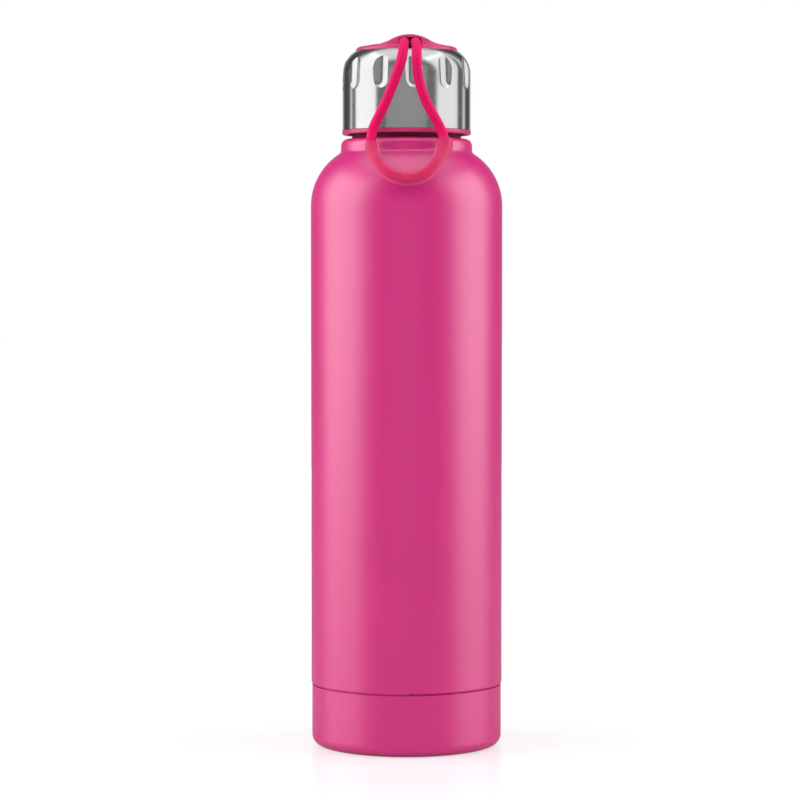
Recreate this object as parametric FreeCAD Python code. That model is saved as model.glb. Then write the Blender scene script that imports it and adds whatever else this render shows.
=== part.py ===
import FreeCAD, Part
import math
import os
from FreeCAD import Vector

# A double-walled vacuum bottle with a screw cap and a cord carry loop, in millimetres.
# The origin is the centre of the base, on the surface the bottle stands on. +Z is up and the
# loop hangs at the front, towards -Y. Profiles are (radius, height) in the XZ half plane.

# Bottle
BODY_R = 35.0
SHEET = 0.4
BASE_CUP_R = 34.7
BASE_CUP_H = 22.35
STAND_RING_IN_R = 26.2
FOOT_RECESS = 1.2
SKIRT_R = 34.05
SKIRT_BOTTOM = 4.6
SEAM_Z = 22.7
SHOULDER_R = 22.5
SHOULDER_CORNER_Z = 209.26
COLLAR_R = 23.95
COLLAR_CORNER_Z = 216.87
COLLAR_TOP = 221.8
NECK_R = 19.9
NECK_TOP = 243.0
LINER_R = 30.9
LINER_SHOULDER_R = 18.5
LINER_CORNER_Z = 205.17
LINER_NECK_R = 18.9
LINER_NECK_CORNER_Z = 213.5
LINER_SEAM_Z = 17.0
LINER_FLOOR_Z = 12.0
LINER_DOME_H = 1.4
LINER_DOME_R = (21.0, 24.5)
OUTER_BOTTOM_Z = 8.6
SEAL_DIMPLE_Z = 7.4
SEAL_DIMPLE_R = (5.0, 3.6)
SEAL_BEAD_R = 2.2
SEAL_BEAD_H = 0.9
PUMP_HOLE_R = 0.8
GETTER_X = 16.0
GETTER_R = 3.5
GETTER_H = 1.5
CLIP_T = 0.3
CLIP_W = 5.0
FOIL_T = 0.15
FOIL_Z = (20.0, 192.0)
PAD_R = (8.0, 24.0)

# Thread
THREAD_STARTS = 3
THREAD_LEAD = 12.0
THREAD_TURN = 0.72
THREAD_DEPTH = 1.0
THREAD_BASE_W = 2.2
THREAD_CREST_W = 1.0
THREAD_BOTTOM = 228.0
THREAD_BITE = 0.3
CAP_BORE_R = 21.2

# Cap
LIP_R = 23.5
LIP_BOTTOM = 223.3
LIP_TOP = 224.95
CAP_R = 23.35
CROWN_R = 9.7
CROWN_CORNER_Z = 250.8
COVER_HOLE_R = 18.75
CROWN_EDGE_Z = 253.65
DIMPLE_COUNT = 12
DIMPLE_TOOL_R = 5.2
DIMPLE_AXIS_R = 27.5
DIMPLE_END_Z = 242.4
DIMPLE_LEAN = 3.5
DIMPLE_HEADING = 6.5
CORE_R = 22.65
CORE_SLIM_R = 21.3
CORE_STEP_Z = 238.7
GASKET_SEAT_R = 20.25
ROOF_BOTTOM = 245.7
ROOF_TOP = 247.9
PLUG_R = 17.2
PLUG_BOTTOM = 236.0
PLUG_WALL = 0.8
PLUG_CORNER_R = 2.0
PLUG_FLANGE_R = 20.4
GASKET_R = (17.5, 20.05)
ANCHOR_BOTTOM = 249.2
ANCHOR_TOP = 251.2
ANCHOR_R = 20.1
ANCHOR_NOSE_Y = -17.6
ANCHOR_STEP_Y = -11.5

# Top cover, its hood, and the tunnel that the cord leaves by
COVER_HEADING = 4.0
COVER_R = 18.6
COVER_BOTTOM = 251.3
COVER_RIM_R = 1.4
COVER_EDGE_Z = 254.9
COVER_CROWN_Z = 256.9
HOOD_TOP = 258.6
HOOD_FOOT_Z = 255.2
HOOD_HALF_W = 13.5
HOOD_REACH_R = 17.8
HOOD_TAIL_Y = -2.0
TUNNEL_HALF_W = 4.1
TUNNEL_ROOF = 257.55
CHAMBER_R = 6.4
CHAMBER_ROOF = 257.0
TUNNEL_EDGE_R = 1.4
HOOD_LIP_R = 0.5
POST_Y = -4.0
POST_R = 1.2
SCREW_CIRCLE_R = 12.0
SCREW_R = 1.1
SCREW_HEAD_R = 2.2
SCREW_BITE = 2.8

# Carry loop
CORD_R = 1.8
CORD_EXIT_Z = 255.65
CORD_POST_Z = 255.0
SLEEVE_R = 2.45
SLEEVE_BORE_R = 1.85
BIGHT_ROUTE = [
    (-2.1, -20.2, CORD_EXIT_Z), (-2.1, -9.4, CORD_EXIT_Z), (-3.05, -6.0, CORD_POST_Z),
    (-3.05, -0.1, CORD_POST_Z), (3.05, -0.1, CORD_POST_Z), (3.05, -6.0, CORD_POST_Z),
    (2.1, -9.4, CORD_EXIT_Z), (2.1, -20.2, CORD_EXIT_Z),
]
LOOP_ROUTE = [
    (-2.1, -9.4, CORD_EXIT_Z), (-2.1, -20.2, CORD_EXIT_Z), (-2.8, -25.1, 250.8), (-4.4, -25.1, 244.3),
    (-7.1, -24.5, 238.1), (-10.5, -23.3, 230.7), (-13.6, -22.6, 225.2), (-14.6, -23.2, 221.2),
    (-14.4, -26.0, 216.0), (-13.0, -30.3, 212.7), (-10.2, -33.8, 209.2), (-6.1, -35.7, 206.8),
    (-0.9, -36.4, 206.0), (4.1, -35.5, 207.6), (8.6, -32.8, 211.6), (11.9, -27.7, 216.4),
    (12.1, -25.1, 221.4), (10.1, -24.5, 226.2), (7.9, -24.7, 229.9), (5.4, -25.0, 234.5),
    (3.5, -25.4, 239.7), (2.4, -25.5, 244.4), (2.0, -25.3, 250.9), (2.1, -20.2, CORD_EXIT_Z),
    (2.1, -9.4, CORD_EXIT_Z),
]
BEND_CORNERS = ((1, 2), (22, 23))
LEG_CORNERS = ((3, 11), (13, 21))
SPLICE_CORNERS = (12, 12)
SLEEVE_CORNERS = (8, 15)

Z_AXIS = Vector(0, 0, 1)


def unit(a, b):
    """The direction from point a to point b."""
    return (b - a).normalize()


def corner_arc(before, corner, after, reach):
    """The arc that rounds a corner, touching both sides at reach from it."""
    into = unit(corner, before)
    out = unit(corner, after)
    half_turn = (math.pi - into.getAngle(out)) / 2
    radius = reach / math.tan(half_turn)
    bisector = (into + out).normalize()
    middle = corner + bisector * (radius / math.cos(half_turn) - radius)
    return Part.Arc(corner + into * reach, middle, corner + out * reach), radius


def outline(corners, closed=True):
    """A wire through (r, z) or (r, z, corner radius) points, in the XZ half plane."""
    points = [Vector(c[0], 0, c[1]) for c in corners]
    radii = [c[2] if len(c) > 2 else 0 for c in corners]
    count = len(points)
    starts = list(points)
    ends = list(points)
    arcs = [None] * count
    for i in range(count):
        if radii[i] == 0:
            continue
        before = points[i - 1]
        after = points[(i + 1) % count]
        turn = math.pi - (before - points[i]).getAngle(after - points[i])
        reach = radii[i] * math.tan(turn / 2)
        arcs[i] = corner_arc(before, points[i], after, reach)[0]
        starts[i] = points[i] + unit(points[i], before) * reach
        ends[i] = points[i] + unit(points[i], after) * reach
    edges = []
    for i in range(count):
        if arcs[i]:
            edges.append(arcs[i].toShape())
        following = (i + 1) % count
        if (following or closed) and ends[i].distanceToPoint(starts[following]) > 1e-6:
            edges.append(Part.LineSegment(ends[i], starts[following]).toShape())
    return Part.Wire(edges)


def turned(corners):
    """The solid that a closed outline sweeps about the bottle's axis."""
    return Part.Face(outline(corners)).revolve(Vector(0, 0, 0), Z_AXIS, 360)


def left_of(path, distance):
    """The (r, z, radius) path moved sideways, to the left of its direction."""
    flat = [Vector(p[0], p[1], 0) for p in path]
    sides = []
    for a, b in zip(flat, flat[1:]):
        along = unit(a, b)
        sides.append(Vector(-along.y, along.x, 0))
    moved = []
    for i, p in enumerate(path):
        first = sides[max(i - 1, 0)]
        second = sides[min(i, len(sides) - 1)]
        shift = (first + second) * (distance / (1 + first.dot(second)))
        radius = p[2] if len(p) > 2 else 0
        if radius:
            turns_left = first.cross(second).z > 0
            radius += -distance if turns_left else distance
        moved.append((p[0] + shift.x, p[1] + shift.y, radius))
    return moved


def pressed(path, sheet=SHEET):
    """A turned sheet whose outer surface follows path, with the sheet to the path's left."""
    return turned(list(path) + left_of(path, sheet)[::-1])


def cylinder(radius, bottom, top, x=0, y=0):
    return Part.makeCylinder(radius, top - bottom, Vector(x, y, bottom))


def block(x, y, z):
    """A box from three (low, high) pairs."""
    return Part.makeBox(x[1] - x[0], y[1] - y[0], z[1] - z[0], Vector(x[0], y[0], z[0]))


def thread(root_r, outward):
    """The helical ridges of one side of the thread, standing THREAD_DEPTH from root_r."""
    side = 1 if outward else -1
    half_base = THREAD_BASE_W / 2
    half_crest = THREAD_CREST_W / 2
    slope = (half_base - half_crest) / THREAD_DEPTH
    foot = half_base + slope * THREAD_BITE
    ridge_h = THREAD_LEAD * THREAD_TURN
    helix = Part.makeHelix(THREAD_LEAD, ridge_h, root_r)
    section = Part.makePolygon([
        Vector(root_r - side * THREAD_BITE, 0, -foot),
        Vector(root_r + side * THREAD_DEPTH, 0, -half_crest),
        Vector(root_r + side * THREAD_DEPTH, 0, half_crest),
        Vector(root_r - side * THREAD_BITE, 0, foot),
        Vector(root_r - side * THREAD_BITE, 0, -foot),
    ])
    ridge = Part.Wire(helix.Edges).makePipeShell([section], True, True)
    ridges = []
    for start in range(THREAD_STARTS):
        copy = ridge.copy()
        phase = 0 if outward else 0.5
        copy.rotate(Vector(0, 0, 0), Z_AXIS, 360 * (start + phase) / THREAD_STARTS)
        copy.translate(Vector(0, 0, THREAD_BOTTOM))
        ridges.append(copy)
    return ridges


# Bottle pieces

def outer_shell():
    shell = pressed([
        (SKIRT_R, SKIRT_BOTTOM),
        (SKIRT_R, SEAM_Z, 0.15),
        (BODY_R, SEAM_Z, 0.7),
        (BODY_R, SHOULDER_CORNER_Z, SHOULDER_R),
        (COLLAR_R, COLLAR_CORNER_Z, 1.6),
        (COLLAR_R, COLLAR_TOP, 2.5),
        (NECK_R, COLLAR_TOP, 0.6),
        (NECK_R, NECK_TOP),
    ])
    for ridge in thread(NECK_R, outward=True):
        shell = shell.fuse(ridge)
    return shell


def inner_liner():
    return pressed([
        (LINER_R, LINER_SEAM_Z),
        (LINER_R, LINER_CORNER_Z, LINER_SHOULDER_R),
        (LINER_NECK_R, LINER_NECK_CORNER_Z, 5.0),
        (LINER_NECK_R, NECK_TOP + 0.05, 0.3),
        (NECK_R, NECK_TOP + 0.05),
    ])


def liner_bottom():
    return pressed([
        (0, LINER_FLOOR_Z + LINER_DOME_H),
        (LINER_DOME_R[0], LINER_FLOOR_Z + LINER_DOME_H, 6.0),
        (LINER_DOME_R[1], LINER_FLOOR_Z, 6.0),
        (LINER_R, LINER_FLOOR_Z, 4.0),
        (LINER_R, LINER_SEAM_Z),
    ])


def outer_bottom():
    flange_r = SKIRT_R - SHEET - 0.03
    return pressed([
        (flange_r, SKIRT_BOTTOM),
        (flange_r, OUTER_BOTTOM_Z, 2.0),
        (SEAL_DIMPLE_R[0], OUTER_BOTTOM_Z, 0.8),
        (SEAL_DIMPLE_R[1], SEAL_DIMPLE_Z, 0.8),
        (PUMP_HOLE_R, SEAL_DIMPLE_Z),
    ])


def vacuum_seal():
    under = SEAL_DIMPLE_Z - SHEET
    return turned([
        (0, under - SEAL_BEAD_H),
        (SEAL_BEAD_R, under - SEAL_BEAD_H, SEAL_BEAD_H - 0.05),
        (SEAL_BEAD_R, under),
        (PUMP_HOLE_R, under),
        (PUMP_HOLE_R, SEAL_DIMPLE_Z),
        (0, SEAL_DIMPLE_Z),
    ])


def getter_clip():
    half = GETTER_R + CLIP_T
    top = OUTER_BOTTOM_Z + GETTER_H + 0.1
    strap = block((-half, half), (-CLIP_W / 2, CLIP_W / 2), (OUTER_BOTTOM_Z, top))
    inside = block((-GETTER_R, GETTER_R), (-CLIP_W, CLIP_W), (OUTER_BOTTOM_Z + CLIP_T, top + 1))
    clip = strap.cut(inside)
    clip.translate(Vector(GETTER_X, 0, 0))
    return clip


def getter():
    bottom = OUTER_BOTTOM_Z + CLIP_T
    return cylinder(GETTER_R, bottom, bottom + GETTER_H, GETTER_X)


def heat_foil():
    inner = LINER_R + 0.1
    outer = inner + FOIL_T
    low, high = FOIL_Z
    return turned([(inner, low), (outer, low), (outer, high), (inner, high)])


def base_cup():
    return pressed([
        (0, FOOT_RECESS),
        (STAND_RING_IN_R - FOOT_RECESS, FOOT_RECESS, 1.0),
        (STAND_RING_IN_R, 0, 1.0),
        (BASE_CUP_R, 0, 3.8),
        (BASE_CUP_R, BASE_CUP_H),
    ])


def base_pad():
    bottom = FOOT_RECESS + SHEET
    top = OUTER_BOTTOM_Z - SHEET
    hole, rim = PAD_R
    return turned([(hole, bottom), (rim, bottom, 0.5), (rim, top, 0.5), (hole, top)])


# Cap pieces

def dimple_tools(radius):
    """Round-ended cutters that stand around the cap and lean in towards its top."""
    foot = Vector(DIMPLE_AXIS_R, 0, DIMPLE_END_Z)
    upright = cylinder(radius, DIMPLE_END_Z, HOOD_TOP + 2, DIMPLE_AXIS_R)
    leaning = upright.fuse(Part.makeSphere(radius, foot))
    leaning.rotate(foot, Vector(0, 1, 0), -DIMPLE_LEAN)
    tools = []
    for i in range(DIMPLE_COUNT):
        tool = leaning.copy()
        tool.rotate(Vector(0, 0, 0), Z_AXIS, DIMPLE_HEADING - 90 + 360 * i / DIMPLE_COUNT)
        tools.append(tool)
    return tools


def cap_shell():
    path = [
        (CAP_R, LIP_TOP + 0.05),
        (CAP_R, CROWN_CORNER_Z, CROWN_R),
        (COVER_HOLE_R, CROWN_EDGE_Z),
    ]
    inner_path = left_of(path, SHEET)
    solid = turned([(0, path[0][1])] + path + [(0, CROWN_EDGE_Z)])
    low, crown, edge = inner_path
    overshoot = 1.0
    hollow = turned([
        (0, low[1] - overshoot),
        (low[0], low[1] - overshoot),
        crown,
        edge,
        (edge[0], CROWN_EDGE_Z + overshoot),
        (0, CROWN_EDGE_Z + overshoot),
    ])
    for tool in dimple_tools(DIMPLE_TOOL_R):
        solid = solid.cut(tool)
    for tool in dimple_tools(DIMPLE_TOOL_R + SHEET):
        hollow = hollow.cut(tool)
    return solid.cut(hollow).cut(cylinder(COVER_HOLE_R, ROOF_TOP, HOOD_TOP))


def cap_core():
    core = turned([
        (CAP_BORE_R, LIP_BOTTOM, 0.3),
        (LIP_R, LIP_BOTTOM, 0.6),
        (LIP_R, LIP_TOP, 0.3),
        (CORE_R, LIP_TOP),
        (CORE_R, CORE_STEP_Z),
        (CORE_SLIM_R, CORE_STEP_Z + 1.4),
        (CORE_SLIM_R, ROOF_TOP, 0.5),
        (PLUG_R + 0.1, ROOF_TOP),
        (PLUG_R + 0.1, ROOF_BOTTOM),
        (GASKET_SEAT_R, ROOF_BOTTOM),
        (GASKET_SEAT_R, CORE_STEP_Z + 0.8),
        (CAP_BORE_R, CORE_STEP_Z - 0.2),
    ])
    for ridge in thread(CAP_BORE_R, outward=False):
        core = core.fuse(ridge)
    return core


def plug_cup():
    return pressed([
        (0, PLUG_BOTTOM),
        (PLUG_R, PLUG_BOTTOM, PLUG_CORNER_R),
        (PLUG_R, ROOF_TOP + 0.02, 0.05),
        (PLUG_FLANGE_R, ROOF_TOP + 0.02),
    ], PLUG_WALL)


def cap_insulation():
    radius = PLUG_R - PLUG_WALL - 0.05
    bottom = PLUG_BOTTOM + PLUG_WALL + 0.05
    top = ANCHOR_BOTTOM - 0.05
    corner_r = PLUG_CORNER_R - PLUG_WALL
    return turned([(0, bottom), (radius, bottom, corner_r), (radius, top), (0, top)])


def mouth_gasket():
    """A soft ring that stays just clear of the rim below it and of the cap above it."""
    bottom = NECK_TOP + 0.05 + SHEET + 0.2
    top = ROOF_BOTTOM - 0.1
    inner, outer = GASKET_R
    return turned([(inner, bottom, 0.3), (outer, bottom, 0.3), (outer, top, 0.3), (inner, top, 0.3)])


def screw_places():
    for angle in (90, 210, 330):
        yield (
            SCREW_CIRCLE_R * math.cos(math.radians(angle)),
            SCREW_CIRCLE_R * math.sin(math.radians(angle)),
        )


def cover_screw(x, y):
    """A countersunk screw, head down, from under the anchor plate into the cover."""
    head_h = SCREW_HEAD_R - SCREW_R + 0.1
    head = Part.makeCone(SCREW_HEAD_R, SCREW_R, head_h, Vector(x, y, ANCHOR_BOTTOM))
    shank = cylinder(SCREW_R, ANCHOR_BOTTOM + head_h / 2, COVER_BOTTOM + SCREW_BITE, x, y)
    return head.fuse(shank).removeSplitter()


def cover_screws():
    return Part.makeCompound([cover_screw(x, y) for x, y in screw_places()])


def loop_anchor():
    """The plate under the cover, with a raised floor for the cord and the post it goes round."""
    floor_gap = 0.1
    plate = cylinder(ANCHOR_R, ANCHOR_BOTTOM, ANCHOR_TOP)
    front_top = CORD_EXIT_Z - CORD_R - floor_gap
    rear_top = CORD_POST_Z - CORD_R - floor_gap
    side_gap = 0.15
    half = TUNNEL_HALF_W - side_gap
    inside = ANCHOR_TOP - 0.5
    front = block((-half, half), (ANCHOR_NOSE_Y, ANCHOR_STEP_Y), (inside, front_top))
    middle = block((-half, half), (ANCHOR_STEP_Y, POST_Y), (inside, rear_top))
    rear = cylinder(CHAMBER_R - side_gap, inside, rear_top, 0, POST_Y)
    post = cylinder(POST_R, inside, CHAMBER_ROOF - 0.05, 0, POST_Y)
    for piece in (front, middle, rear, post):
        plate = plate.fuse(piece)
    for x, y in screw_places():
        plate = plate.cut(cover_screw(x, y))
    return plate.removeSplitter()


def on_hood_lip(edge):
    """Whether an edge is on the upper rim of the hood's front."""
    points = [edge.valueAt(edge.FirstParameter), edge.valueAt(edge.LastParameter), edge.CenterOfMass]
    ends_reach = all(abs(math.hypot(p.x, p.y) - HOOD_REACH_R) < 1e-4 for p in points[:2])
    middle = points[2]
    return ends_reach and middle.y < 0 and abs(points[0].z - points[1].z) > 1 and middle.z > HOOD_FOOT_Z


def hood():
    """A smooth ridge that ends in a soft upright lip at the cover's front and rounds off behind."""
    rise = HOOD_TOP - HOOD_FOOT_Z
    bend = (HOOD_HALF_W ** 2 + rise ** 2) / (4 * rise)
    crest = Vector(0, 0, HOOD_TOP)
    halfway = Vector(HOOD_HALF_W / 2, 0, (HOOD_TOP + HOOD_FOOT_Z) / 2)
    foot = Vector(HOOD_HALF_W, 0, HOOD_FOOT_Z)
    slope = math.asin(HOOD_HALF_W / 2 / bend)
    on_crest = Vector(bend * math.sin(slope / 2), 0, HOOD_TOP - bend * (1 - math.cos(slope / 2)))
    on_foot = Vector(
        HOOD_HALF_W - bend * math.sin(slope / 2), 0, HOOD_FOOT_Z + bend * (1 - math.cos(slope / 2))
    )
    sunk_foot = Vector(HOOD_HALF_W, 0, HOOD_FOOT_Z - 1)
    sunk = Vector(0, 0, HOOD_FOOT_Z - 1)
    half_section = Part.Wire([
        Part.Arc(crest, on_crest, halfway).toShape(),
        Part.Arc(halfway, on_foot, foot).toShape(),
        Part.LineSegment(foot, sunk_foot).toShape(),
        Part.LineSegment(sunk_foot, sunk).toShape(),
        Part.LineSegment(sunk, crest).toShape(),
    ])
    right = Part.Face(half_section)
    right.translate(Vector(0, HOOD_TAIL_Y, 0))
    run = right.extrude(Vector(0, -COVER_R - HOOD_TAIL_Y, 0))
    ridge = run.fuse(run.mirror(Vector(0, 0, 0), Vector(1, 0, 0)))
    tail = right.revolve(Vector(0, HOOD_TAIL_Y, 0), Z_AXIS, 180)
    bump = ridge.fuse(tail).common(cylinder(HOOD_REACH_R, HOOD_FOOT_Z - 1, HOOD_TOP + 1))
    bump = bump.removeSplitter()
    lip = [e for e in bump.Edges if on_hood_lip(e)]
    return bump.makeFillet(HOOD_LIP_R, lip)


def tunnel():
    """The space for the cord, open below and at the front."""
    reach = (-COVER_R - 5, POST_Y - 2)
    way = block((-TUNNEL_HALF_W, TUNNEL_HALF_W), reach, (COVER_BOTTOM - 1, TUNNEL_ROOF))
    lengthwise = [
        e for e in way.Edges
        if abs(e.CenterOfMass.z - TUNNEL_ROOF) < 1e-6 and abs(e.CenterOfMass.x) > 1
    ]
    chamber = cylinder(CHAMBER_R, COVER_BOTTOM - 1, CHAMBER_ROOF, 0, POST_Y)
    rim = [e for e in chamber.Edges if e.Length > 10 and abs(e.CenterOfMass.z - CHAMBER_ROOF) < 1e-6]
    return way.makeFillet(TUNNEL_EDGE_R, lengthwise).fuse(chamber.makeFillet(TUNNEL_EDGE_R, rim))


def domed_disc():
    """The cover without its hood: a disc whose top is a shallow dome with a rounded rim."""
    dome_r = (COVER_R ** 2 + (COVER_CROWN_Z - COVER_EDGE_Z) ** 2) / (2 * (COVER_CROWN_Z - COVER_EDGE_Z))
    ball = Part.makeSphere(dome_r, Vector(0, 0, COVER_CROWN_Z - dome_r))
    disc = cylinder(COVER_R, COVER_BOTTOM, COVER_CROWN_Z + 1).common(ball)
    rim = [e for e in disc.Edges if e.Length > COVER_R and abs(e.CenterOfMass.z - COVER_EDGE_Z) < 0.01]
    return disc.makeFillet(COVER_RIM_R, rim)


def top_cover():
    cover = domed_disc().fuse(hood()).cut(tunnel())
    for x, y in screw_places():
        cover = cover.cut(cover_screw(x, y))
    return cover.removeSplitter()


# Carry loop

def cord_path(route, first, last):
    """Straight runs and tangent arcs round the corners first to last, between middles of runs."""
    points = [Vector(*p) for p in route]
    place = (points[first - 1] + points[first]) * 0.5
    edges = []
    radii = []
    for i in range(first, last + 1):
        before, corner, after = points[i - 1], points[i], points[i + 1]
        reach = 0.45 * min(corner.distanceToPoint(before), corner.distanceToPoint(after))
        arc, radius = corner_arc(before, corner, after, reach)
        edges.append(Part.LineSegment(place, arc.StartPoint).toShape())
        edges.append(arc.toShape())
        place = arc.EndPoint
        radii.append(radius)
    end = (points[last] + points[last + 1]) * 0.5
    edges.append(Part.LineSegment(place, end).toShape())
    return Part.Wire(edges), radii


def tube(route, corners, radius, bore=0):
    """A round cord, or a hose with a bore, along part of a route."""
    path, radii = cord_path(route, *corners)
    start = path.Edges[0].Vertexes[0].Point
    along = path.Edges[0].tangentAt(path.Edges[0].FirstParameter)
    ring = Part.Wire(Part.makeCircle(radius, start, along))
    solid = Part.Wire(path.Edges).makePipeShell([ring], True, False)
    section = math.pi * radius ** 2
    print(
        f"cord corners {corners}: volume over section times length",
        round(solid.Volume / section / path.Length, 4),
        "radii", [round(r, 1) for r in radii],
    )
    if bore:
        inner = Part.Wire(Part.makeCircle(bore, start, along))
        solid = solid.cut(Part.Wire(path.Edges).makePipeShell([inner], True, False))
    return solid


def loop_cord_bight():
    return tube(BIGHT_ROUTE, (1, 6), CORD_R)


def loop_cord_bend():
    return Part.makeCompound([tube(LOOP_ROUTE, c, CORD_R) for c in BEND_CORNERS])


def loop_cord_legs():
    return Part.makeCompound([tube(LOOP_ROUTE, c, CORD_R) for c in LEG_CORNERS])


def cord_splice():
    return tube(LOOP_ROUTE, SPLICE_CORNERS, CORD_R)


def grip_sleeve():
    return tube(LOOP_ROUTE, SLEEVE_CORNERS, SLEEVE_R, SLEEVE_BORE_R)


def faced(shape):
    """The cover and all that goes with it, turned to the cover's heading."""
    turned_shape = shape.copy()
    turned_shape.rotate(Vector(0, 0, 0), Z_AXIS, COVER_HEADING)
    return turned_shape


PLAIN_NODES = [
    outer_shell, inner_liner, liner_bottom, outer_bottom, vacuum_seal, getter_clip, getter,
    heat_foil, base_cup, base_pad, cap_shell, cap_core, plug_cup, cap_insulation, mouth_gasket,
]
FACED_NODES = [
    loop_anchor, cover_screws, top_cover,
    loop_cord_bight, loop_cord_bend, loop_cord_legs, cord_splice, grip_sleeve,
]


def save(name, shape):
    for solid in shape.Solids:
        if not solid.isValid() or solid.Volume <= 0:
            print("not a sound solid:", name)
    box = shape.BoundBox
    print(
        f"{name}: {len(shape.Solids)} solid, {shape.Volume / 1000:.2f} cm3,",
        f"x {box.XMin:.1f} {box.XMax:.1f} y {box.YMin:.1f} {box.YMax:.1f} z {box.ZMin:.1f} {box.ZMax:.1f}",
    )
    shape.exportStep(f"parts/{name}.step")


os.makedirs("parts", exist_ok=True)
for make in PLAIN_NODES:
    save(make.__name__, make())
for make in FACED_NODES:
    save(make.__name__, faced(make()))
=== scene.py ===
import math

import bpy
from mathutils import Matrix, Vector


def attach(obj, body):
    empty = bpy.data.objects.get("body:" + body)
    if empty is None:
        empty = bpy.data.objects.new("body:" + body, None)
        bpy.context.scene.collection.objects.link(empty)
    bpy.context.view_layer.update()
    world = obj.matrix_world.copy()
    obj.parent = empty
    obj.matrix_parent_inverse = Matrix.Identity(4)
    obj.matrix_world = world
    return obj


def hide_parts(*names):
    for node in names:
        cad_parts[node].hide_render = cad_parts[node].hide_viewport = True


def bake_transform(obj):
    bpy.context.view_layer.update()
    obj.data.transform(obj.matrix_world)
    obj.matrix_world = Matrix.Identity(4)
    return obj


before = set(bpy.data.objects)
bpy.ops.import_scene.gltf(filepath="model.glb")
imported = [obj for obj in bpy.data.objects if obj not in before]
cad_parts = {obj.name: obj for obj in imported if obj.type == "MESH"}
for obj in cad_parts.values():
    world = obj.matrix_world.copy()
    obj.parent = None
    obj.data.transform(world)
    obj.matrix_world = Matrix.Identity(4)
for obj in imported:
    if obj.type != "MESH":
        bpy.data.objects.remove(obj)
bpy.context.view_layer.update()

# Everything is in metres, in the frame of the CAD model. The loop hangs at the front, towards -Y.
MM = 0.001
COVER_HEADING = math.radians(4.0)  # the top cover is turned this far from facing the front

# In the gap under the cap the coat is painted dark, as painted shade, and it ends a little higher,
# in bare steel.
COLLAR_TOP = 221.82 * MM
COAT_TOP = 223.9 * MM

CORD_R = 1.8 * MM
BRAID_STRANDS = 8
BRAID_PITCH = 2 * math.pi * CORD_R * 1.1  # half a turn of a strand
BRAID_RELIEF = 0.06 * MM

# The sleeve's wall thins to a share of itself over the roll at each end. Its right end flares.
SLEEVE_R = 2.45 * MM
SLEEVE_BORE_R = 1.84 * MM
SLEEVE_ROLL = 0.5 * MM
SLEEVE_END_SHARE = 0.35
SLEEVE_FLARE = 0.75 * MM
SLEEVE_FLARE_START = 0.72

# The sides of a tube, and the curve points for each control point of the loop and round the post
TUBE_SIDES = 40
LOOP_STEPS = 36
POST_STEPS = 24

# The cord's routes, and the places where the sleeve ends, in millimetres, before they are turned
# to the cover's heading
LOOP_ROUTE = [
    (-3.05, -2.3, 255.0), (-3.05, -6.0, 255.0), (-1.85, -12.5, 255.75), (-2.15, -18.0, 255.85),
    (-2.65, -22.6, 253.9), (-3.5, -25.3, 249.3), (-5.1, -25.1, 244.3), (-7.4, -24.5, 238.1),
    (-10.6, -23.3, 230.7), (-13.5, -22.6, 225.2), (-14.5, -23.2, 221.2), (-14.2, -26.0, 216.0),
    (-12.7, -30.3, 212.7), (-10.1, -33.8, 209.2), (-6.1, -35.7, 206.8), (-0.9, -36.4, 206.0),
    (3.9, -35.5, 207.6), (8.1, -32.8, 211.6), (11.5, -27.7, 216.4), (11.7, -25.1, 221.4),
    (9.6, -24.5, 226.2), (7.4, -24.7, 229.9), (4.9, -25.0, 234.5), (3.0, -25.4, 239.7),
    (2.0, -25.5, 244.4), (1.85, -25.4, 249.3), (1.95, -22.6, 253.9), (1.95, -18.0, 255.85),
    (1.82, -12.5, 255.75), (3.05, -6.0, 255.0), (3.05, -2.3, 255.0),
]
POST_ROUTE = [
    (-3.05, -2.3, 255.0), (-3.05, -0.1, 255.0), (-1.2, 0.2, 255.0),
    (1.2, 0.2, 255.0), (3.05, -0.1, 255.0), (3.05, -2.3, 255.0),
]
SLEEVE_ENDS = ((-14.5, -24.6, 218.8), (12.0, -25.6, 220.2))

# Which sockets of a Mix node hold its two inputs and its result
COLOR_MIX = (6, 7, 2)
VALUE_MIX = (2, 3, 0)

# Colours. A name with DEEP is the darker end of its material's cloudiness.
COAT = (0.585, 0.0066, 0.174)
COAT_DEEP = (0.555, 0.0054, 0.163)
# Painted shade for the neck in the gap under the cap
NECK_PAINTED_SHADE = (0.095, 0.0006, 0.012)
STEEL = (0.60, 0.60, 0.61)
BRIGHT_STEEL = (0.74, 0.74, 0.745)
PLASTIC = (0.55, 0.030, 0.155)
PLASTIC_DEEP = (0.50, 0.022, 0.132)
DARK_PINK = (0.30, 0.010, 0.06)
DARK_PINK_DEEP = (0.24, 0.008, 0.05)
BLACK_RUBBER = (0.03, 0.03, 0.03)
BLACK_RUBBER_DEEP = (0.02, 0.02, 0.02)
MILKY = (0.75, 0.75, 0.72)
MILKY_DEEP = (0.66, 0.66, 0.63)
THREAD = (0.74, 0.0018, 0.132)
THREAD_DEEP = (0.65, 0.0008, 0.106)
# Painted shade in the grooves between the braid's strands
GROOVE_PAINTED_SHADE = (0.55, 0.0006, 0.078)
SLEEVE_PINK = (0.91, 0.080, 0.30)
SLEEVE_PINK_DEEP = (0.85, 0.055, 0.25)
FOAM_CREAM = (0.85, 0.83, 0.76)
# Painted shade in the hollows of the foam's cells
FOAM_PORE_SHADE = (0.55, 0.53, 0.46)

# The camera's lens and sensor are in millimetres.
CAMERA_PLACE = (-0.0024, -1.042, 0.172)
CAMERA_PITCH = math.radians(87.5)
CAMERA_LENS = 128
CAMERA_SENSOR = 36

# How bright the floor is to the camera, as (distance, brightness), near the bottle and far from
# it, and how bright it is to everything else
FLOOR_HALF_SIZE = 6.0
FLOOR_DROP = 0.02 * MM
FLOOR_NEAR = (0.08, 0.56)
FLOOR_FAR = (0.40, 1.0)
FLOOR_TO_LIGHT = 0.12

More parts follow.
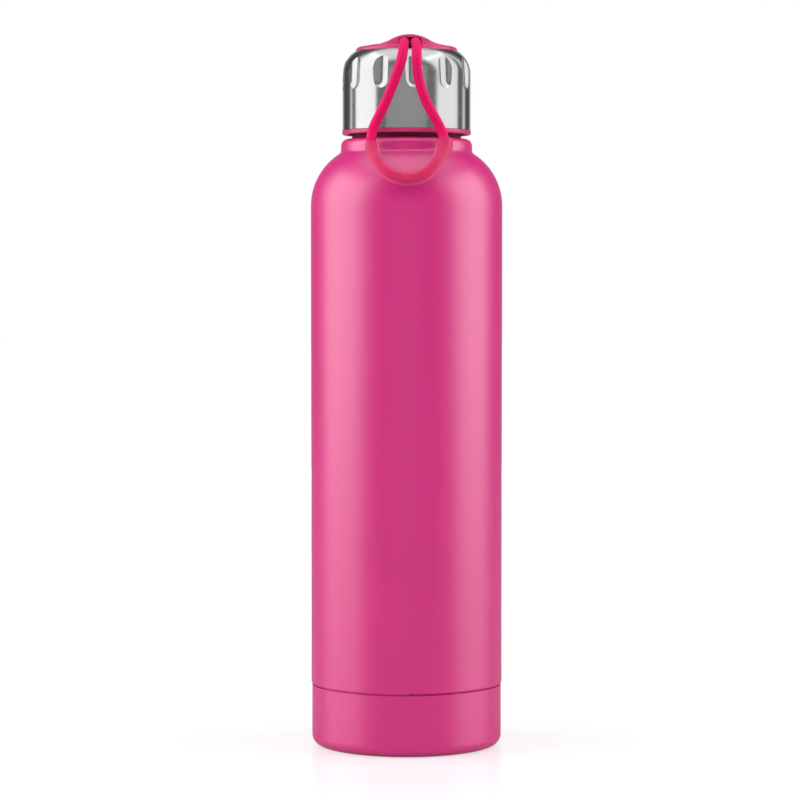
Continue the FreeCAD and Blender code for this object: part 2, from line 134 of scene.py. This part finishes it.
# The studio's grey, as (position, grey), from the front of the world, at 0, to the back, at 1
WORLD_STOPS = ((0.0, 0.15), (0.30, 0.14), (0.50, 0.18), (0.80, 0.07), (0.93, 0.06), (0.975, 0.5))

# Lights: name, place, the height on the bottle's axis that it points at, width, height, watts
BODY_BOXES = [
    ("left_box", (-0.80, -0.10, 0.42), 0.15, 0.98, 0.85, 8.4),
    ("right_box", (0.80, -0.08, 0.42), 0.15, 0.80, 0.85, 6.9),
    ("top_box", (0, -0.1, 1.1), 0.1, 1.2, 1.0, 6.5),
]
BODY_FILLS = [
    ("front_fill", (0, -1.5, 0.22), 0.10, 1.0, 0.4, 8.6),
    ("back_fill", (0, 1.5, 0.22), 0.10, 1.0, 0.4, 9.0),
]
CAP_BOXES = [
    ("left_cap_box", (-0.79, -0.14, 0.60), 0.25, 0.82, 1.2, 3.5),
    ("left_cap_strip", (-0.706, 0.375, 0.60), 0.25, 0.14, 1.2, 0.35),
    ("right_cap_box", (0.785, -0.153, 0.60), 0.25, 0.85, 1.2, 2.85),
    ("right_cap_strip", (0.663, 0.447, 0.60), 0.25, 0.17, 1.2, 0.42),
    ("front_cap_box", (0, -1.6, 0.35), 0.24, 2.4, 1.4, 1.9),
    ("top_cap_box", (0, -0.1, 1.1), 0.24, 1.3, 1.1, 3.4),
]


def faced(point):
    """A point of the cover's own frame, in millimetres, turned to the cover's heading."""
    x, y, z = point
    turn_cos = math.cos(COVER_HEADING)
    turn_sin = math.sin(COVER_HEADING)
    return Vector((x * turn_cos - y * turn_sin, x * turn_sin + y * turn_cos, z)) * MM


# Shaders

class Paint:
    """A Principled material, with short ways to add the nodes that give it detail."""

    def __init__(self, name, **sockets):
        self.material = bpy.data.materials.new(name)
        self.material.use_nodes = True
        self.tree = self.material.node_tree
        self.shader = self.tree.nodes["Principled BSDF"]
        for socket, value in sockets.items():
            self.shader.inputs[socket.replace("_", " ")].default_value = value
        self.coords = self.node("ShaderNodeTexCoord").outputs["Object"]

    def node(self, kind, **settings):
        """A new node of a kind, with some of its settings."""
        made = self.tree.nodes.new(kind)
        for key, value in settings.items():
            setattr(made, key, value)
        return made

    def link(self, source, target):
        self.tree.links.new(source, target)

    def stretched(self, scale):
        """Object coordinates scaled differently along each axis."""
        mapping = self.node("ShaderNodeMapping")
        mapping.inputs["Scale"].default_value = scale
        self.link(self.coords, mapping.inputs["Vector"])
        return mapping.outputs["Vector"]

    def noise(self, scale, detail=3.0, coords=None):
        """Smooth noise, scale blotches to the metre."""
        made = self.node("ShaderNodeTexNoise")
        made.inputs["Scale"].default_value = scale
        made.inputs["Detail"].default_value = detail
        self.link(coords or self.coords, made.inputs["Vector"])
        return made.outputs["Fac"]

    def math(self, operation, *values):
        """One arithmetic step on numbers and sockets."""
        made = self.node("ShaderNodeMath", operation=operation)
        for socket, value in zip(made.inputs, values):
            if isinstance(value, (int, float)):
                socket.default_value = value
            else:
                self.link(value, socket)
        return made.outputs[0]

    def spread(self, fac, low, high, start=0.3, end=0.7):
        """Maps start to end onto low to high. Noise mostly lies in the usual start to end."""
        made = self.node("ShaderNodeMapRange")
        self.link(fac, made.inputs["Value"])
        made.inputs["From Min"].default_value = start
        made.inputs["From Max"].default_value = end
        made.inputs["To Min"].default_value = low
        made.inputs["To Max"].default_value = high
        return made.outputs["Result"]

    def mix(self, fac, first, second):
        """A colour between two, either of which may be a constant or a socket."""
        made = self.node("ShaderNodeMix", data_type="RGBA")
        self.link(fac, made.inputs[0])
        first_slot, second_slot, result_slot = COLOR_MIX
        for slot, value in ((first_slot, first), (second_slot, second)):
            if isinstance(value, tuple):
                made.inputs[slot].default_value = (*value, 1)
            else:
                self.link(value, made.inputs[slot])
        return made.outputs[result_slot]

    def mix_values(self, fac, first, second):
        """A number between those of two sockets."""
        made = self.node("ShaderNodeMix", data_type="FLOAT")
        first_slot, second_slot, result_slot = VALUE_MIX
        self.link(fac, made.inputs[0])
        self.link(first, made.inputs[first_slot])
        self.link(second, made.inputs[second_slot])
        return made.outputs[result_slot]

    def color(self, source):
        """Uses a socket as the base colour."""
        self.link(source, self.shader.inputs["Base Color"])

    def roughness(self, source):
        """Uses a socket as the roughness."""
        self.link(source, self.shader.inputs["Roughness"])

    def bump(self, height, strength, distance):
        """Relief in the shading. Distance is how much higher 1 is than 0."""
        made = self.node("ShaderNodeBump")
        made.inputs["Strength"].default_value = strength
        made.inputs["Distance"].default_value = distance
        self.link(height, made.inputs["Height"])
        self.link(made.outputs["Normal"], self.shader.inputs["Normal"])


def powder_coat(name, steel_above=None):
    """Satin pink powder coat. If asked, it is painted dark above the collar, as painted shade in the
    gap under the cap, and ends in bare steel.
    """
    paint = Paint(name, Specular_IOR_Level=1.0)
    cloud = paint.noise(scale=38)
    grain = paint.noise(scale=1700, detail=2)
    coat = paint.mix(paint.spread(cloud, 0, 1), COAT_DEEP, COAT)
    coat_rough = paint.spread(grain, low=0.34, high=0.41)
    pebbles = paint.noise(scale=1300, detail=4)
    paint.bump(pebbles, strength=0.20, distance=0.1 * MM)
    if steel_above is None:
        paint.color(coat)
        paint.roughness(coat_rough)
        return paint.material
    height = paint.node("ShaderNodeSeparateXYZ")
    paint.link(paint.coords, height.inputs[0])
    bare = paint.math("GREATER_THAN", height.outputs["Z"], steel_above)
    # Painted shade: above the collar the coat is dark and fully rough, like the shaded gap under the
    # cap
    neck_shade = paint.math("GREATER_THAN", height.outputs["Z"], COLLAR_TOP)
    coat = paint.mix(neck_shade, coat, NECK_PAINTED_SHADE)
    coat_rough = paint.math("MAXIMUM", coat_rough, neck_shade)
    lathe = paint.noise(scale=1, detail=2, coords=paint.stretched((30, 30, 5200)))
    steel_rough = paint.spread(lathe, low=0.24, high=0.40)
    paint.color(paint.mix(bare, coat, STEEL))
    paint.link(bare, paint.shader.inputs["Metallic"])
    paint.roughness(paint.mix_values(bare, coat_rough, steel_rough))
    return paint.material


def turned_steel(name, low, high, color=STEEL):
    """Steel with fine lines round it, which draw reflections out upright. Rough from low to high."""
    paint = Paint(name, Metallic=1.0, Anisotropic=0.7, Anisotropic_Rotation=0.25)
    around = paint.node("ShaderNodeTangent", direction_type="RADIAL", axis="Z")
    paint.link(around.outputs["Tangent"], paint.shader.inputs["Tangent"])
    lathe = paint.noise(scale=1, coords=paint.stretched((25, 25, 4200)))
    smear = paint.noise(scale=60)
    tone = paint.spread(smear, 0, 1)
    paint.color(paint.mix(tone, tuple(c * 0.93 for c in color), color))
    paint.roughness(paint.spread(lathe, low, high))
    paint.bump(lathe, strength=0.06, distance=0.02 * MM)
    return paint.material


def moulded(name, color, deep, rough):
    """Moulded plastic or rubber: near-even colour and a fine spark-eroded grain."""
    paint = Paint(name, Specular_IOR_Level=0.45)
    cloud = paint.noise(scale=55)
    skin = paint.noise(scale=900)
    paint.color(paint.mix(paint.spread(cloud, 0, 1), deep, color))
    paint.roughness(paint.spread(skin, rough - 0.05, rough + 0.05))
    paint.bump(skin, strength=0.12, distance=0.08 * MM)
    return paint.material


def plain_metal(name, color, rough, blotch=220):
    """Sheet, solder or foil with uneven brightness."""
    paint = Paint(name, Metallic=1.0)
    patches = paint.noise(blotch, detail=5)
    paint.color(paint.mix(paint.spread(patches, 0, 1), tuple(c * 0.8 for c in color), color))
    paint.roughness(paint.spread(patches, rough, rough + 0.15))
    paint.bump(patches, strength=0.25, distance=0.1 * MM)
    return paint.material


def foam(name):
    """Open-cell foam, painted darker in the hollow of each cell, as painted shade."""
    paint = Paint(name, Specular_IOR_Level=0.2, Roughness=0.95)
    cells = paint.node("ShaderNodeTexVoronoi")
    cells.inputs["Scale"].default_value = 1400
    paint.link(paint.coords, cells.inputs["Vector"])
    # Painted shade: darker towards the middle of each cell, where the bump makes a hollow
    paint.color(paint.mix(cells.outputs["Distance"], FOAM_PORE_SHADE, FOAM_CREAM))
    paint.bump(cells.outputs["Distance"], strength=0.6, distance=0.3 * MM)
    return paint.material


def braid():
    """Woven cord: the relief is in the mesh, and its height is stored as an attribute, which also
    paints the grooves darker, as painted shade.
    """
    paint = Paint("cord_braid", Specular_IOR_Level=0.15, Roughness=0.62)
    paint.shader.inputs["Sheen Weight"].default_value = 0.06
    paint.shader.inputs["Sheen Roughness"].default_value = 0.4
    relief = paint.node("ShaderNodeAttribute", attribute_name="relief").outputs["Fac"]
    fibres = paint.noise(scale=3000, detail=2)
    thread = paint.mix(paint.spread(fibres, 0, 1), THREAD_DEEP, THREAD)
    # Painted shade: the grooves between the strands are darker
    paint.color(paint.mix(relief, GROOVE_PAINTED_SHADE, thread))
    paint.bump(fibres, strength=0.25, distance=0.05 * MM)
    return paint.material


def silicone():
    """See-through pink silicone with a satin skin."""
    paint = Paint("sleeve_silicone", Specular_IOR_Level=0.4, IOR=1.16, Roughness=0.26)
    paint.shader.inputs["Transmission Weight"].default_value = 0.7
    paint.shader.inputs["Sheen Weight"].default_value = 0.4
    paint.shader.inputs["Sheen Tint"].default_value = (1.0, 0.45, 0.62, 1)
    cloud = paint.noise(scale=120)
    skin = paint.noise(scale=1500)
    paint.color(paint.mix(paint.spread(cloud, 0, 1), SLEEVE_PINK_DEEP, SLEEVE_PINK))
    paint.bump(skin, strength=0.08, distance=0.05 * MM)
    return paint.material


# Meshes

def smooth_line(points, steps):
    """The points of the NURBS curve that has these control points."""
    curve = bpy.data.curves.new("line", "CURVE")
    curve.dimensions = "3D"
    curve.resolution_u = steps
    spline = curve.splines.new("NURBS")
    spline.points.add(len(points) - 1)
    for control, point in zip(spline.points, points):
        control.co = (*point, 1)
    spline.order_u = 3
    spline.use_endpoint_u = True
    holder = bpy.data.objects.new("line", curve)
    mesh = bpy.data.meshes.new_from_object(holder)
    line = [v.co.copy() for v in mesh.vertices]
    bpy.data.objects.remove(holder)
    bpy.data.curves.remove(curve)
    bpy.data.meshes.remove(mesh)
    return line


def lengths_along(line):
    """How far along the line each point is."""
    lengths = [0.0]
    for a, b in zip(line, line[1:]):
        lengths.append(lengths[-1] + (b - a).length)
    return lengths


def frames_along(line):
    """Two sideways directions at each point, carried along the line without twisting."""
    side = None
    frames = []
    for i, point in enumerate(line):
        along = (line[min(i + 1, len(line) - 1)] - line[max(i - 1, 0)]).normalized()
        if side is None:
            side = along.cross(Vector((0, 0, 1))).normalized()
        side = (side - along * side.dot(along)).normalized()
        frames.append((side, along.cross(side)))
    return frames


def rings(line, radius_at):
    """Rings of points round a line. radius_at gives the radius from the length and the angle."""
    points = []
    for centre, length, (side, up) in zip(line, lengths_along(line), frames_along(line)):
        for k in range(TUBE_SIDES):
            angle = 2 * math.pi * k / TUBE_SIDES
            radius = radius_at(length, angle)
            points.append(centre + (side * math.cos(angle) + up * math.sin(angle)) * radius)
    return points


def ring_faces(count, first=0, inward=False):
    """The faces between that many rings, whose points start at first."""
    faces = []
    for i in range(count - 1):
        for k in range(TUBE_SIDES):
            a = first + i * TUBE_SIDES + k
            b = first + i * TUBE_SIDES + (k + 1) % TUBE_SIDES
            face = (a, b, b + TUBE_SIDES, a + TUBE_SIDES)
            faces.append(face[::-1] if inward else face)
    return faces


def add_object(name, points, faces, material):
    """A smooth-shaded mesh object in the scene."""
    mesh = bpy.data.meshes.new(name)
    mesh.from_pydata(points, [], faces)
    mesh.materials.append(material)
    mesh.shade_smooth()
    made = bpy.data.objects.new(name, mesh)
    bpy.context.scene.collection.objects.link(made)
    return made


def braid_height(length, angle):
    """0 in the grooves to 1 on the strands, which wind both ways round the cord."""
    turn = 2 * math.pi * length / BRAID_PITCH / 2
    left = math.cos(BRAID_STRANDS * (angle + turn))
    right = math.cos(BRAID_STRANDS * (angle - turn))
    return max(left, right) * 0.5 + 0.5


def cord_mesh(name, line, material):
    """A braided cord with closed ends."""
    heights = []

    def radius_at(length, angle):
        height = braid_height(length, angle)
        heights.append(height)
        return CORD_R - BRAID_RELIEF * (1 - height)

    points = rings(line, radius_at)
    faces = ring_faces(len(line))
    last = len(points) - TUBE_SIDES
    faces.append(tuple(range(TUBE_SIDES))[::-1])
    faces.append(tuple(range(last, last + TUBE_SIDES)))
    cord = add_object(name, points, faces, material)
    attribute = cord.data.attributes.new("relief", "FLOAT", "POINT")
    attribute.data.foreach_set("value", heights)
    return cord


def nearest(line, place):
    """The index of the line's point that is nearest to a place."""
    return min(range(len(line)), key=lambda i: (line[i] - place).length)


def stretch_of(line, start, end):
    """The part of a line between the points nearest to start and end."""
    return line[nearest(line, start):nearest(line, end) + 1]


def sleeve_mesh(name, line, material):
    """A soft tube with rolled ends, a little wider at its right end."""
    total = lengths_along(line)[-1]
    wall = SLEEVE_R - SLEEVE_BORE_R

    def outer(length, angle):
        end_gap = min(length, total - length)
        rounding = math.sqrt(max(0.0, 1 - (1 - min(end_gap / SLEEVE_ROLL, 1)) ** 2))
        share = SLEEVE_END_SHARE + (1 - SLEEVE_END_SHARE) * rounding
        flared = max(0.0, length / total - SLEEVE_FLARE_START) / (1 - SLEEVE_FLARE_START)
        return SLEEVE_BORE_R + wall * share + SLEEVE_FLARE * flared

    def bore(length, angle):
        return SLEEVE_BORE_R

    outside = rings(line, outer)
    inside = rings(line, bore)
    offset = len(outside)
    last = offset - TUBE_SIDES
    faces = ring_faces(len(line)) + ring_faces(len(line), offset, inward=True)
    for k in range(TUBE_SIDES):
        following = (k + 1) % TUBE_SIDES
        faces.append((following, k, offset + k, offset + following))
        faces.append((
            last + k, last + following, offset + last + following, offset + last + k,
        ))
    return add_object(name, outside + inside, faces, material)


def make_loop():
    """The cord, the part of it round the post, and the sleeve."""
    material = braid()
    line = smooth_line([faced(p) for p in LOOP_ROUTE], LOOP_STEPS)
    cord = cord_mesh("carry_cord", line, material)
    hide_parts("loop_cord_bend", "loop_cord_legs", "cord_splice")
    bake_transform(cord)

    post_line = smooth_line([faced(p) for p in POST_ROUTE], POST_STEPS)
    bight = cord_mesh("cord_round_post", post_line, material)
    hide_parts("loop_cord_bight")
    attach(bight, "cap")

    ends = [faced(p) for p in SLEEVE_ENDS]
    sleeve = sleeve_mesh("soft_sleeve", stretch_of(line, *ends), silicone())
    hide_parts("grip_sleeve")
    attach(sleeve, "carry_loop")

    # The loop is kept out of reflections, where it would colour too much of the cap's steel.
    for piece in (cord, sleeve):
        piece.visible_glossy = False


def finish_nodes():
    """Gives each CAD piece that stays in sight, or inside, its own material."""
    finishes = {
        "outer_shell": powder_coat("shell_coat", steel_above=COAT_TOP),
        "base_cup": powder_coat("base_coat"),
        "inner_liner": turned_steel("liner_steel", low=0.25, high=0.42),
        "liner_bottom": turned_steel("liner_bottom_steel", low=0.25, high=0.42),
        "outer_bottom": plain_metal("bottom_steel", STEEL, rough=0.35),
        "vacuum_seal": plain_metal("solder", (0.62, 0.62, 0.64), rough=0.4, blotch=700),
        "getter_clip": plain_metal("spring_steel", (0.45, 0.45, 0.47), rough=0.3),
        "getter": plain_metal("getter_metal", (0.16, 0.15, 0.15), rough=0.6, blotch=900),
        "heat_foil": plain_metal("radiant_foil", (0.88, 0.88, 0.89), rough=0.12, blotch=60),
        "base_pad": moulded("pad_rubber", BLACK_RUBBER, BLACK_RUBBER_DEEP, rough=0.7),
        "cap_shell": turned_steel("cap_steel", low=0.16, high=0.24, color=BRIGHT_STEEL),
        "cap_core": moulded("core_plastic", PLASTIC, PLASTIC_DEEP, rough=0.38),
        "plug_cup": turned_steel("plug_steel", low=0.2, high=0.35),
        "cap_insulation": foam("cap_foam"),
        "mouth_gasket": moulded("gasket_silicone", MILKY, MILKY_DEEP, rough=0.45),
        "loop_anchor": moulded("anchor_plastic", DARK_PINK, DARK_PINK_DEEP, rough=0.5),
        "cover_screws": plain_metal("screw_steel", (0.5, 0.5, 0.5), rough=0.3),
        "top_cover": moulded("cover_plastic", PLASTIC, PLASTIC_DEEP, rough=0.40),
    }
    for node, material in finishes.items():
        for material_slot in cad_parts[node].material_slots:
            material_slot.link = "OBJECT"
            material_slot.material = material


# Studio

def softbox(name, place, aim_height, width, height, power):
    """A rectangular light that points at the bottle's axis and isn't seen by the camera."""
    data = bpy.data.lights.new(name, "AREA")
    data.shape = "RECTANGLE"
    data.size = width
    data.size_y = height
    data.energy = power
    light = bpy.data.objects.new(name, data)
    light.location = place
    aim = Vector((0, 0, aim_height)) - light.location
    light.rotation_euler = aim.to_track_quat("-Z", "Y").to_euler()
    light.visible_camera = False
    bpy.context.scene.collection.objects.link(light)
    return light


def make_world():
    """White to the camera. To all else, grey in front, dark further back, light straight behind."""
    world = bpy.data.worlds.new("studio")
    world.use_nodes = True
    bpy.context.scene.world = world
    tree = world.node_tree
    background = tree.nodes["Background"]
    way = tree.nodes.new("ShaderNodeTexCoord").outputs["Generated"]
    split = tree.nodes.new("ShaderNodeSeparateXYZ")
    tree.links.new(way, split.inputs[0])
    ramp = tree.nodes.new("ShaderNodeValToRGB")
    elements = ramp.color_ramp.elements
    while len(elements) < len(WORLD_STOPS):
        elements.new(0.5)
    for element, (place, value) in zip(elements, WORLD_STOPS):
        element.position = place
        element.color = (value, value, value, 1)
    shift = tree.nodes.new("ShaderNodeMapRange")
    shift.inputs["From Min"].default_value = -1
    tree.links.new(split.outputs["Y"], shift.inputs["Value"])
    tree.links.new(shift.outputs["Result"], ramp.inputs["Fac"])
    seen = tree.nodes.new("ShaderNodeLightPath").outputs["Is Camera Ray"]
    mix = tree.nodes.new("ShaderNodeMix")
    mix.data_type = "RGBA"
    studio_slot, white_slot, result_slot = COLOR_MIX
    tree.links.new(seen, mix.inputs[0])
    tree.links.new(ramp.outputs["Color"], mix.inputs[studio_slot])
    mix.inputs[white_slot].default_value = (1, 1, 1, 1)
    tree.links.new(mix.outputs[result_slot], background.inputs["Color"])


def make_floor():
    """A pale floor with a faint gloss. To the camera it brightens to white away from the bottle."""
    half = FLOOR_HALF_SIZE
    corners = [(-half, -half, 0), (half, -half, 0), (half, half, 0), (-half, half, 0)]
    paint = Paint("floor_white", Roughness=0.22, Specular_IOR_Level=0.2)
    paint.shader.inputs["Base Color"].default_value = (0.40, 0.40, 0.40, 1)
    paint.shader.inputs["Emission Color"].default_value = (1, 1, 1, 1)
    seen = paint.node("ShaderNodeLightPath").outputs["Is Camera Ray"]
    away = paint.node("ShaderNodeVectorMath", operation="LENGTH")
    paint.link(paint.coords, away.inputs[0])
    near, near_white = FLOOR_NEAR
    far, far_white = FLOOR_FAR
    white = paint.spread(away.outputs["Value"], near_white, far_white, near, far)
    glow = paint.math("MAXIMUM", paint.math("MULTIPLY", seen, white), FLOOR_TO_LIGHT)
    paint.link(glow, paint.shader.inputs["Emission Strength"])
    floor = add_object("floor", corners, [(0, 1, 2, 3)], paint.material)
    floor.location = (0, 0, -FLOOR_DROP)


def make_camera():
    """A long lens a little above the bottle's middle, looking slightly down."""
    data = bpy.data.cameras.new("camera")
    data.lens = CAMERA_LENS
    data.sensor_width = CAMERA_SENSOR
    camera = bpy.data.objects.new("camera", data)
    camera.location = CAMERA_PLACE
    camera.rotation_euler = (CAMERA_PITCH, 0, 0)
    bpy.context.scene.collection.objects.link(camera)
    bpy.context.scene.camera = camera


def light_only(lights, target, state):
    """Lets some lights reach only one object, or every object but that one."""
    group = bpy.data.collections.new("lit_" + state.lower())
    group.objects.link(target)
    group.collection_objects[0].light_linking.link_state = state
    for light in lights:
        light.light_linking.receiver_collection = group


def make_studio():
    """The world, floor and camera, and lights of their own for the steel cap and for the rest."""
    make_world()
    make_floor()
    make_camera()
    boxes = [softbox(*row) for row in BODY_BOXES]
    fills = [softbox(*row) for row in BODY_FILLS]
    for fill in fills:
        fill.visible_glossy = False
    steel_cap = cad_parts["cap_shell"]
    cap_lights = [softbox(*row) for row in CAP_BOXES]
    light_only(boxes + fills, steel_cap, "EXCLUDE")
    light_only(cap_lights, steel_cap, "INCLUDE")
    scene = bpy.context.scene
    scene.view_settings.view_transform = "Standard"
    scene.view_settings.look = "None"


make_loop()
finish_nodes()
make_studio()
